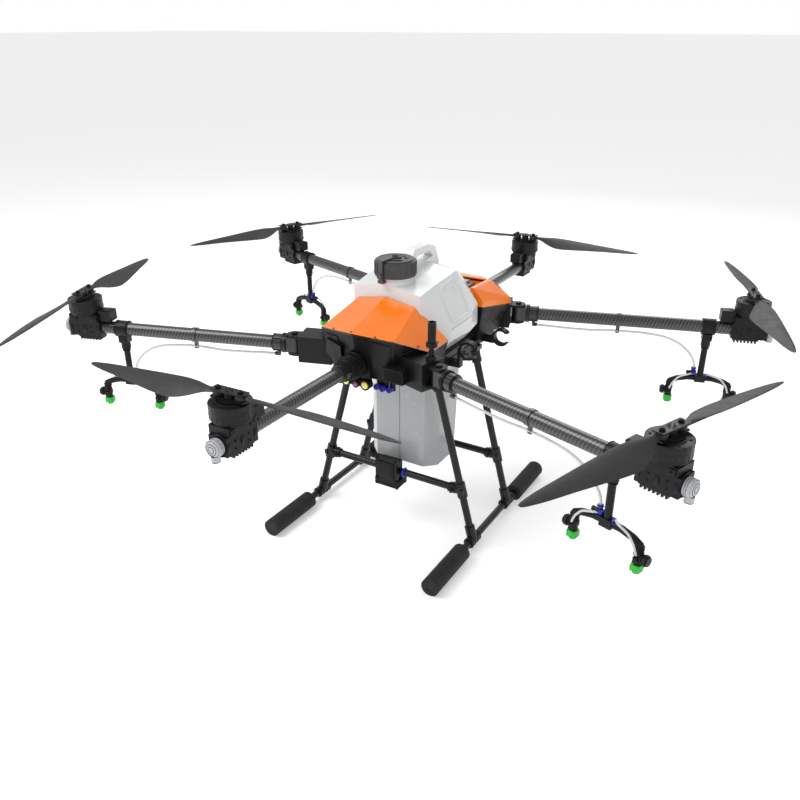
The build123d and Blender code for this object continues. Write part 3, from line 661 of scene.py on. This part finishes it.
# frame on the side of the rear pod, screws and rows of small rings along the rails
SIDE_FRAME = ((196, 232, 560, 564), (196, 232, 530, 534), (196, 200, 530, 564),
              (228, 232, 530, 564))
part = Build()
for side in (-1, 1):
    x0, x1 = sorted((side * 167, side * 170.5))
    for y0, y1, z0, z1 in SIDE_FRAME:
        part.box(x0, x1, y0, y1, z0, z1, 0.6)
    for y in (-200, -150, -100, -40, 20, 80):
        part.screw((side * 138, y, 503), "X", 3.0, side * 2)
    for row in range(4):
        for col in range(7):
            part.ring((side * 138.3, 60 + 7 * col, 497.5 + 3.9 * row), "X", 1.1, 1.9, 0.8, 10)
part.done("rail_trim", "black", "root", None, 28)

# ---- hoods ----
FRONT_HOOD_SCREWS = (
    (0, -316, 640.2), (-60, -304, 634.4), (60, -304, 634.4), (-98, -284, 627.5),
    (98, -284, 627.5), (-138, -236, 604), (138, -236, 604), (-151, -160, 594), (151, -160, 594),
)
REAR_HOOD_SCREWS = (
    (-60, 286, 614), (60, 286, 614), (-140, 244, 614), (140, 244, 614), (-160, 200, 614),
    (160, 200, 614),
)
part = Build()
for at in FRONT_HOOD_SCREWS + REAR_HOOD_SCREWS:
    part.screw(at, "Z", 2.8, 1.6)
part.done("hood_screws", "steel", "root", None, 28)


def seam(part, points, r):
    """Thin bead along straight runs, for a shadow gap or a folded edge."""
    for a, b in zip(points, points[1:]):
        a, b = Vector(a), Vector(b)
        ahead = (b - a).normalized()
        side = ahead.cross(Vector((0, 0, 1))).normalized()
        up = side.cross(ahead)
        part.loft([circle_about(p, side, up, r, 8) for p in (a, b)])


part = Build()
seam(part, [(-158, -121, 585), (-160, -212, 584), (-104, -291, 625), (0, -318, 634),
            (104, -291, 625), (160, -212, 584), (158, -121, 585)], 1.6)
seam(part, [(-148, 102, 605), (-178, 217, 589), (-104, 286, 597), (0, 302, 602),
            (104, 286, 597), (178, 217, 589), (148, 102, 605)], 1.6)
part.done("hood_seams", "window", "root", None, 40)

# ---- tank ----
SHOULDER = ((150, -88, 606), (152, 25, 615), (101, 25, 721), (100, -88, 710))
SHOULDER_RIM = ((0.10, 0.16), (0.16, 0.08), (0.80, 0.08), (0.90, 0.18), (0.90, 0.62),
                (0.74, 0.90), (0.16, 0.90), (0.10, 0.82), (0.10, 0.16))
SHOULDER_FOLD = ((0.30, 0.80), (0.62, 0.80), (0.74, 0.52))
part = Build()
for side in (-1, 1):
    face = [(side * x, y, z) for x, y, z in SHOULDER]
    seam(part, [on_plane(face, u, v) for u, v in SHOULDER_RIM], 2.4)
    seam(part, [on_plane(face, u, v) for u, v in SHOULDER_FOLD], 1.8)
    for x in (34, 52):
        seam(part, [(side * x, -90.6, 200), (side * x, -90.6, 500)], 1.4)
    seam(part, [(side * 152.4, -86, 600), (side * 152.6, 22, 606)], 1.6)
    seam(part, [(side * 97, -156.9, 636), (side * 97, -156.9, 575)], 1.3)
part.ring((0, NECK_Y, 727.5), "Z", 46, 48.6, 3.0, 56)
part.ring((0, NECK_Y, 722.5), "Z", 46, 47.8, 2.0, 56)
part.done("tank_ribs", "tank", "tank", None, 40)

# ---- cap ----
part = Build()
for x, y in around(36, 52.4):
    part.turned([(734, 1.3), (735, 1.6), (764, 1.6), (766, 1.0)], "Z", (x, NECK_Y + y, 0), 8)
part.ring((0, NECK_Y, 768), "Z", 45, 50.6, 2.2, 64)
part.ring((0, NECK_Y, 771.6), "Z", 38, 41, 1.6, 64)
part.turned([(778, 8.6), (780.5, 8.2), (782, 6.6), (782.6, 3)], "Z", (0, NECK_Y, 0), 32)
# three raised arcs, clear of the strap at rest and when the cap turns
for start in (290, 20, 95):
    for i in range(7):
        a = math.radians(start + 7 * i)
        x, y = 28 * math.cos(a), NECK_Y + 28 * math.sin(a)
        top = 774.6 + 0.6 * math.sin(math.pi * i / 6)
        part.box(x - 3, x + 3, y - 3, y + 3, 771.4, top, 1.2)
part.done("cap_trim", "cap", "cap", None, 34)

# ---- battery ----
part = Build()
part.box(-34, 30, 125.2, 126.4, 637.5, 645, 0.5)
part.box(10, 52, 128, 150, 645.4, 646.8, 0.6)
part.done("battery_window", "window", "battery", None, 30)
part = Build()
for x in (-66, 66):
    for y in (122, 198):
        part.screw((x, y, 638), "Z", 2.6, 1.8)
for x in (-52, -44, -36, -28):
    part.turned([(646, 2.6), (647.6, 2.6), (648, 2.0)], "Z", (x, 138, 0), 16)
for x in (-34, -20, -6, 8, 22, 34):
    part.box(x - 1.6, x + 1.6, 153.4, 166.6, 660.5, 664.2, 0.8)
part.done("battery_trim", "battery", "battery", None, 30)


# ---- landing gear ----
def leg_x(z):
    """How far out the axis of a leg is at height z."""
    return LEG_TOP_X + (SKID_X - LEG_TOP_X) * (LEG_TOP_Z - z) / (LEG_TOP_Z - SKID_Z)


part = Build()
for side in (-1, 1):
    for y in (-126, 99):
        # crossbar clamp: bands, block on the leg, wing screw
        x = side * (leg_x(CROSSBAR_Z) - 24)
        block = side * (leg_x(CROSSBAR_Z) + 8)
        part.ring((x, y, CROSSBAR_Z), "X", 13.6, 16.0, 4, 32)
        part.ring((x + side * 8, y, CROSSBAR_Z), "X", 13.6, 15.4, 2.6, 32)
        for dy in (-22, -8, 8, 22):
            part.ring((side * SKID_X, y + dy, SKID_Z), "Y", 13.6, 15.6, 3, 32)
        part.box(block - 5, block + 5, y - 16.5, y - 10, CROSSBAR_Z - 7, CROSSBAR_Z + 7, 1.4)
        part.box(side * SKID_X - 4, side * SKID_X + 4, y - 5, y + 5, 37, 43, 1.2)
        part.turned([(12, 3), (18, 3), (19, 2)], "Y", (x, y - 30, CROSSBAR_Z), 14)
        part.box(x - 9, x + 9, y - 19.5, y - 16.5, CROSSBAR_Z - 2.5, CROSSBAR_Z + 2.5, 1.2)
        part.box(x - 2.5, x + 2.5, y - 19.5, y - 16.5, CROSSBAR_Z - 8, CROSSBAR_Z + 8, 1.2)
        for z in (456, 478):
            part.ring((side * leg_x(z), y, z), "Z", 13.2, 15.4, 3, 32)
part.done("leg_clamps", "gear", "root", None, 30)

part = Build()
for side in (-1, 1):
    for y0, y1 in ((-368, -192), (152, 322)):
        for y in (y0 + 0.8, y1 - 0.8):
            part.ring((side * SKID_X, y, SKID_Z), "Y", 10.2, 22.4, 1.4, 40)
part.done("pad_ends", "foam", "root", None, 40)

# ---- radar ----
part = Build()
for x in (-39, 21):
    for z in (145, 209):
        part.turned([(-155.5, 4.2), (-154.6, 5.2), (-150, 5.2)], "Y", (x, 0, z), 20)
        part.screw((x, -155.4, z), "Y", 2.4, -1.6)
part.box(-34, 16, -154.6, -151.6, 152, 202, 2.4)
part.box(-28, 10, -156, -153, 158, 196, 3.0)
for i in range(4):
    part.box(-46.5, 28.5, -151.4, -98.6, 126 + 5 * i, 128.4 + 5 * i, 0.6)
for x in (-42, 24):
    for y in (-147, -103):
        part.turned([(122.6, 3.4), (123.4, 4), (147, 4), (148.4, 3.2)], "Z", (x, y, 0), 18)
part.done("radar_trim", "module", "root", None, 30)
part = Build()
part.ring((36, -126, CROSSBAR_Z), "X", 10.2, 14.6, 3, 32)
part.done("radar_ring", "blue", "root", None, 40)

# ---- camera and lights ----
LIGHT_X = (-28, 28)
FITTINGS = ((46, -262, 500), (60, -258, 496), (76, -252, 494))
part = Build()
for x in LIGHT_X:
    part.turned([(-304.5, 9.4), (-306, 8.6), (-307.4, 6.0), (-308, 2)], "Y", (x, 0, 503), 28)
part.done("led_lenses", "led", "root", None, 40)
part = Build()
part.turned([(-303.5, 6.4), (-305, 5.6), (-306.4, 3.4), (-306.8, 1)], "Y", (0, 0, 500), 28)
part.done("camera_lens", "lens", "root", None, 40)
part = Build()
for x in LIGHT_X:
    part.ring((x, -304.4, 503), "Y", 9.6, 13.4, 2.6, 32)
part.ring((0, -303.4, 500), "Y", 6.8, 9.6, 2.4, 28)
for x, y, z in FITTINGS:
    part.turned([(z - 14, 6), (z - 13, 8), (z + 14, 8), (z + 15, 6)], "Z", (x, y, 0), 24)
    part.turned([(-22, 5), (-21, 6.4), (0, 6.4)], "Y", (x, y, z - 6), 24)
part.done("camera_trim", "module", "root", None, 34)
part = Build()
for x, y, z in FITTINGS:
    part.ring((x, y - 14, z - 6), "Y", 6.2, 8.2, 2.6, 24)
    part.ring((x, y - 20, z - 6), "Y", 5.4, 7.6, 2.0, 24)
part.done("fitting_rings", "blue", "root", None, 40)

# ---- antenna ----
part = Build()
for z, r in ((600, 8.4), (607, 8.4), (622, 14.2), (628, 14.2)):
    part.ring((184, -253, z), "Z", r - 3, r, 2.2, 30)
part.turned([(672, 10), (678, 9.6), (680, 8)], "Z", (184, -253, 0), 30)
part.done("antenna_trim", "module", "root", None, 30)

# ---- floor, light, camera, in m ----
FLOOR_HALF = 120.0
FLOOR_DROP = 0.0005
# where the photo was taken from: place, degrees down from level, degrees round from +Y
CAMERA_AT = (1.0077, -1.7718, 1.3008)
CAMERA_DOWN = 25.40
CAMERA_ROUND = 30.93
CAMERA_LENS = 35.69
CAMERA_SENSOR = 36.0


def ground():
    data = bpy.data.meshes.new("floor")
    h = FLOOR_HALF
    data.from_pydata([(-h, -h, 0), (h, -h, 0), (h, h, 0), (-h, h, 0)], [], [(0, 1, 2, 3)])
    mat, _, shader = nodes_of("floor_pale", (0.93, 0.93, 0.93), 0.9)
    shader.inputs["Emission Color"].default_value = (1, 1, 1, 1)
    shader.inputs["Emission Strength"].default_value = 0.30
    data.materials.append(mat)
    floor = bpy.data.objects.new("floor", data)
    floor.location.z = -FLOOR_DROP
    bpy.context.scene.collection.objects.link(floor)


def lamp(name, place, target, size, power):
    data = bpy.data.lights.new(name, "AREA")
    data.shape = "SQUARE"
    data.size = size
    data.energy = power
    item = bpy.data.objects.new(name, data)
    item.location = place
    item.rotation_euler = (Vector(target) - Vector(place)).to_track_quat("-Z", "Y").to_euler()
    bpy.context.scene.collection.objects.link(item)


ground()
lamp("key", (-1.9, -1.7, 3.6), (0, 0, 0.4), 2.2, 95)
lamp("fill", (3.4, -2.4, 1.6), (0, 0, 0.4), 2.6, 14)
lamp("back", (-0.6, 3.2, 2.8), (0, 0, 0.5), 2.4, 45)

# white world that dims from the horizon up
world = bpy.data.worlds.new("studio")
world.use_nodes = True
sky = world.node_tree
background = sky.nodes["Background"]
background.inputs["Color"].default_value = (1, 1, 1, 1)
direction = sky.nodes.new("ShaderNodeSeparateXYZ")
sky.links.new(sky.nodes.new("ShaderNodeTexCoord").outputs["Generated"], direction.inputs[0])
fade = ranged(sky, direction.outputs["Z"], 1.0, 0.58, 0.08, 0.30)
sky.links.new(fade, background.inputs["Strength"])
bpy.context.scene.world = world
bpy.context.scene.view_settings.view_transform = "Standard"

shot = bpy.data.cameras.new("camera")
shot.lens = CAMERA_LENS
shot.sensor_width = CAMERA_SENSOR
camera = bpy.data.objects.new("camera", shot)
camera.location = CAMERA_AT
camera.rotation_euler = (math.radians(90 - CAMERA_DOWN), 0, math.radians(CAMERA_ROUND))
bpy.context.scene.collection.objects.link(camera)
bpy.context.scene.camera = camera
